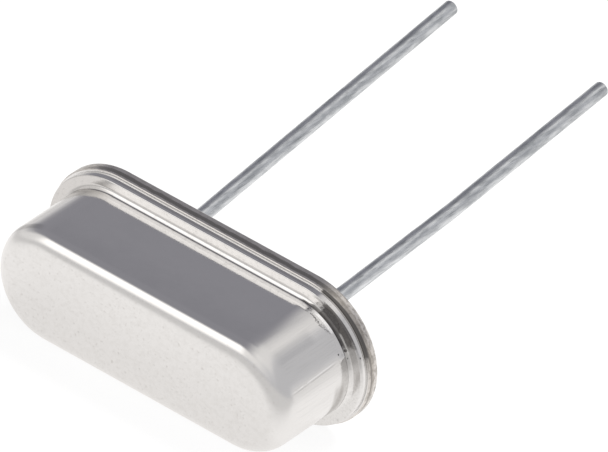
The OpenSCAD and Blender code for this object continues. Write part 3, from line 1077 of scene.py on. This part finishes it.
# %% [markdown]
# ## Floor
# A wide pale sheet lies under the part. It is a plain matt sheet, lifted to white for the camera
# by a little light of its own, so that it still keeps the part's soft shadow. Mirrored in the
# metal it shows a touch greyer, with a pool of light painted on it by place: brightest close to
# the part, dimmer further off, and dimmest in front and to the left. A stronger lamp would
# whiten the sheet too, but would burn out the metal.

# %% The floor's sheet
FLOOR_SIZE = 4
clear_selection()
bpy.ops.mesh.primitive_plane_add(size=FLOOR_SIZE, location=(0, 0, cad_box[0][2]))
floor = bpy.context.object
floor.name = "floor"

# %% How the sheet looks in the metal
WARMTH = (1.032, 1.009, 0.988, 1)
WHITE = (1, 1, 1, 1)
SHEET_MATT = 0.8
MIRROR_MATT = 0.18
CLOSE_LIGHT, FAR_LIGHT, FAR_LEFT_LIGHT, FRONT_LIGHT = 0.86, 0.70, 0.53, 0.54
CAMERA_MATT, CAMERA_LIGHT = 0.2, 0.87
FRONT_SLANT = 0.45


def lifted(tree, matt, light, colour):
    """A matt surface with a little light of its own."""
    lit = add_node(tree, "BsdfDiffuse", (matt, matt, matt, 1))
    return add_node(tree, "AddShader", lit, add_node(tree, "Emission", colour, light))


def mirrored_light(tree):
    """The light painted on the sheet by place, a pool of light that only reflections show. Lengths are
    in millimetres.
    """
    place = add_node(tree, "TexCoord").node.outputs["Object"]
    place = add_node(tree, "Mapping", inputs={"Vector": place, "Scale": (1 / MM,) * 3})
    distance = add_node(tree, "VectorMath", place, operation="LENGTH")
    aside, depth, _ = add_node(tree, "SeparateXYZ", place).node.outputs
    front_left = strongest(tree, fade(tree, depth, 8, 0), fade(tree, aside, 8, 0))
    far_light = add_node(tree, "Mix", front_left, FAR_LIGHT, FAR_LEFT_LIGHT)
    light = add_node(tree, "Mix", fade(tree, distance, 9, 26), CLOSE_LIGHT, far_light)
    forward = add_node(tree, "Math", aside, -FRONT_SLANT, depth, operation="MULTIPLY_ADD")
    front = add_node(tree, "Mix", fade(tree, forward, -5.5, -10.5), CLOSE_LIGHT, FRONT_LIGHT)
    return add_node(tree, "Math", light, front, operation="MINIMUM")


# %% The floor's finish
material, tree = new_material("white_sheet")
rays = add_node(tree, "LightPath").node.outputs
direct = strongest(tree, rays["Is Camera Ray"], rays["Is Transmission Ray"])
plain = add_node(tree, "BsdfDiffuse", (SHEET_MATT, SHEET_MATT, SHEET_MATT, 1))
mirrored = lifted(tree, MIRROR_MATT, mirrored_light(tree), WARMTH)
in_metal = add_node(tree, "MixShader", rays["Is Glossy Ray"], plain, mirrored)
in_camera = lifted(tree, CAMERA_MATT, CAMERA_LIGHT, WHITE)
add_node(tree, "OutputMaterial", add_node(tree, "MixShader", direct, in_metal, in_camera))
floor.data.materials.append(material)
print("nodes in the floor's finish:", len(tree.nodes))

# %% [markdown]
# ## Studio light
# Metal shows what stands round it, so the studio's surroundings matter more than its lamps: a
# dark card overhead, a bright softbox low at the front left, a pale wall at the back, and a
# middle grey to the right. Panels could be modelled for them, but drawn in the world by
# direction they need no meshes and cast no shadows: x is to the right, y to the back and z up,
# each from -1 to 1. One wide lamp above the back lights the sheet and gives the shadow.

# %% The room and its lights
ROOM = (0.998, 0.990, 1.012, 1)
ROOM_LEVEL = 0.61
BACK_WALL, LEFT_SIDE, FRONT_WALL, SOFTBOX = 0.25, 0.24, 0.30, 0.46
LEFT_SLANT = 0.23
world = bpy.data.worlds.new("studio")
bpy.context.scene.world = world
world.use_nodes = True
tree = world.node_tree
way = add_node(tree, "TexCoord").node.outputs["Generated"]
x, y, z = add_node(tree, "SeparateXYZ", way).node.outputs


def add_light(level, amount, *masks):
    """Adds an amount to the level, where all the masks are 1."""
    return add_node(tree, "Math", overlap(tree, *masks), amount, level, operation="MULTIPLY_ADD")


front = overlap(tree, fade(tree, y, -0.5, -0.75), fade(tree, z, -0.04, 0.24))
slanted = add_node(tree, "Math", y, LEFT_SLANT, x, operation="MULTIPLY_ADD")
back_wall = overlap(tree, fade(tree, y, 0.0, 0.5), fade(tree, z, 0.34, 0.0))
softbox = overlap(tree, fade(tree, x, -0.27, -0.43), fade(tree, x, -0.85, -0.50))
level = add_light(ROOM_LEVEL, BACK_WALL, back_wall, fade(tree, x, -0.98, -0.80))
level = add_light(level, LEFT_SIDE, fade(tree, slanted, 0.61, 0.33), fade(tree, y, -0.85, -0.5))
level = add_light(level, FRONT_WALL, front, fade(tree, x, 0.75, -0.1))
level = add_light(level, SOFTBOX, front, softbox)
tint = add_node(tree, "Mix", fade(tree, level, 0.62, 0.90), ROOM, WARMTH, data_type="RGBA")
lights = add_node(tree, "VectorMath", tint, level, operation="SCALE")

# %% The dark card overhead
CARD_COLOUR = (0.298, 0.295, 0.323, 1)
CARD_FRONT = (0.4, 0.75, 0.53)
CARD_LEFT = (0.418, 0.142, 0.898)
past_front = add_node(tree, "VectorMath", way, CARD_FRONT, operation="DOT_PRODUCT")
past_left = add_node(tree, "VectorMath", way, CARD_LEFT, operation="DOT_PRODUCT")
card = overlap(tree, fade(tree, x, 0.14, -0.36), fade(tree, past_front, -0.45, -0.28))
card = overlap(tree, card, fade(tree, past_left, -0.42, 0.08))
surroundings = add_node(tree, "Mix", card, lights, CARD_COLOUR, data_type="RGBA")
tree.links.new(surroundings, tree.nodes["Background"].inputs["Color"])
print("nodes in the surroundings:", len(tree.nodes))

# %% The lamp
LAMP_PLACE = Vector((0.06, 0.12, 0.30))
LAMP_SIZE = 0.16
LAMP_POWER = 0.6
clear_selection()
bpy.ops.object.light_add(type="AREA", location=LAMP_PLACE)
lamp = bpy.context.object
lamp.name = "soft_lamp"
lamp.data.shape = "DISK"
lamp.data.size = LAMP_SIZE
lamp.data.energy = LAMP_POWER
lamp.visible_glossy = False
lamp.rotation_euler = LAMP_PLACE.to_track_quat("Z", "Y").to_euler()
print("lamp's distance, mm:", round(LAMP_PLACE.length / MM))

# %% [markdown]
# ## Camera
# A long lens from far away keeps the can's sides nearly parallel, as for a catalogue. A Track To
# constraint could aim the camera, but here it is placed outright: at a distance from a point on
# the part, turned round it by an azimuth, raised by an elevation and rolled.

# %% Camera
AZIMUTH, ELEVATION, ROLL = (math.radians(a) for a in (33.544, 28.202, 11.211))
DISTANCE = 341.49 * MM
AIM = Vector((1.008, 1.848, 1.833)) * MM
SENSOR_MM = 36
LENS_MM = 767.84
camera_data = bpy.data.cameras.new("camera")
camera = bpy.data.objects.new("camera", camera_data)
bpy.context.scene.collection.objects.link(camera)
camera_data.sensor_width = SENSOR_MM
camera_data.sensor_fit = "HORIZONTAL"
camera_data.lens = LENS_MM
camera_data.clip_start = 10 * MM
camera_data.clip_end = 10
right = Vector((math.cos(AZIMUTH), math.sin(AZIMUTH), 0))
level_back = Vector((math.sin(AZIMUTH), -math.cos(AZIMUTH), 0))
back = level_back * math.cos(ELEVATION) + Vector((0, 0, math.sin(ELEVATION)))
turn = Matrix((right, back.cross(right), back)).transposed() @ Matrix.Rotation(ROLL, 3, "Z")
camera.matrix_world = Matrix.LocRotScale(AIM + back * DISTANCE, turn.to_quaternion(), None)
bpy.context.scene.camera = camera
print("camera's place, mm:", [round(value / MM, 1) for value in camera.matrix_world.translation])

# %% [markdown]
# ## Colours
# The Standard view shows a colour as it was written, where a filmic one would grey it.

# %% Finish
bpy.context.scene.view_settings.view_transform = "Standard"
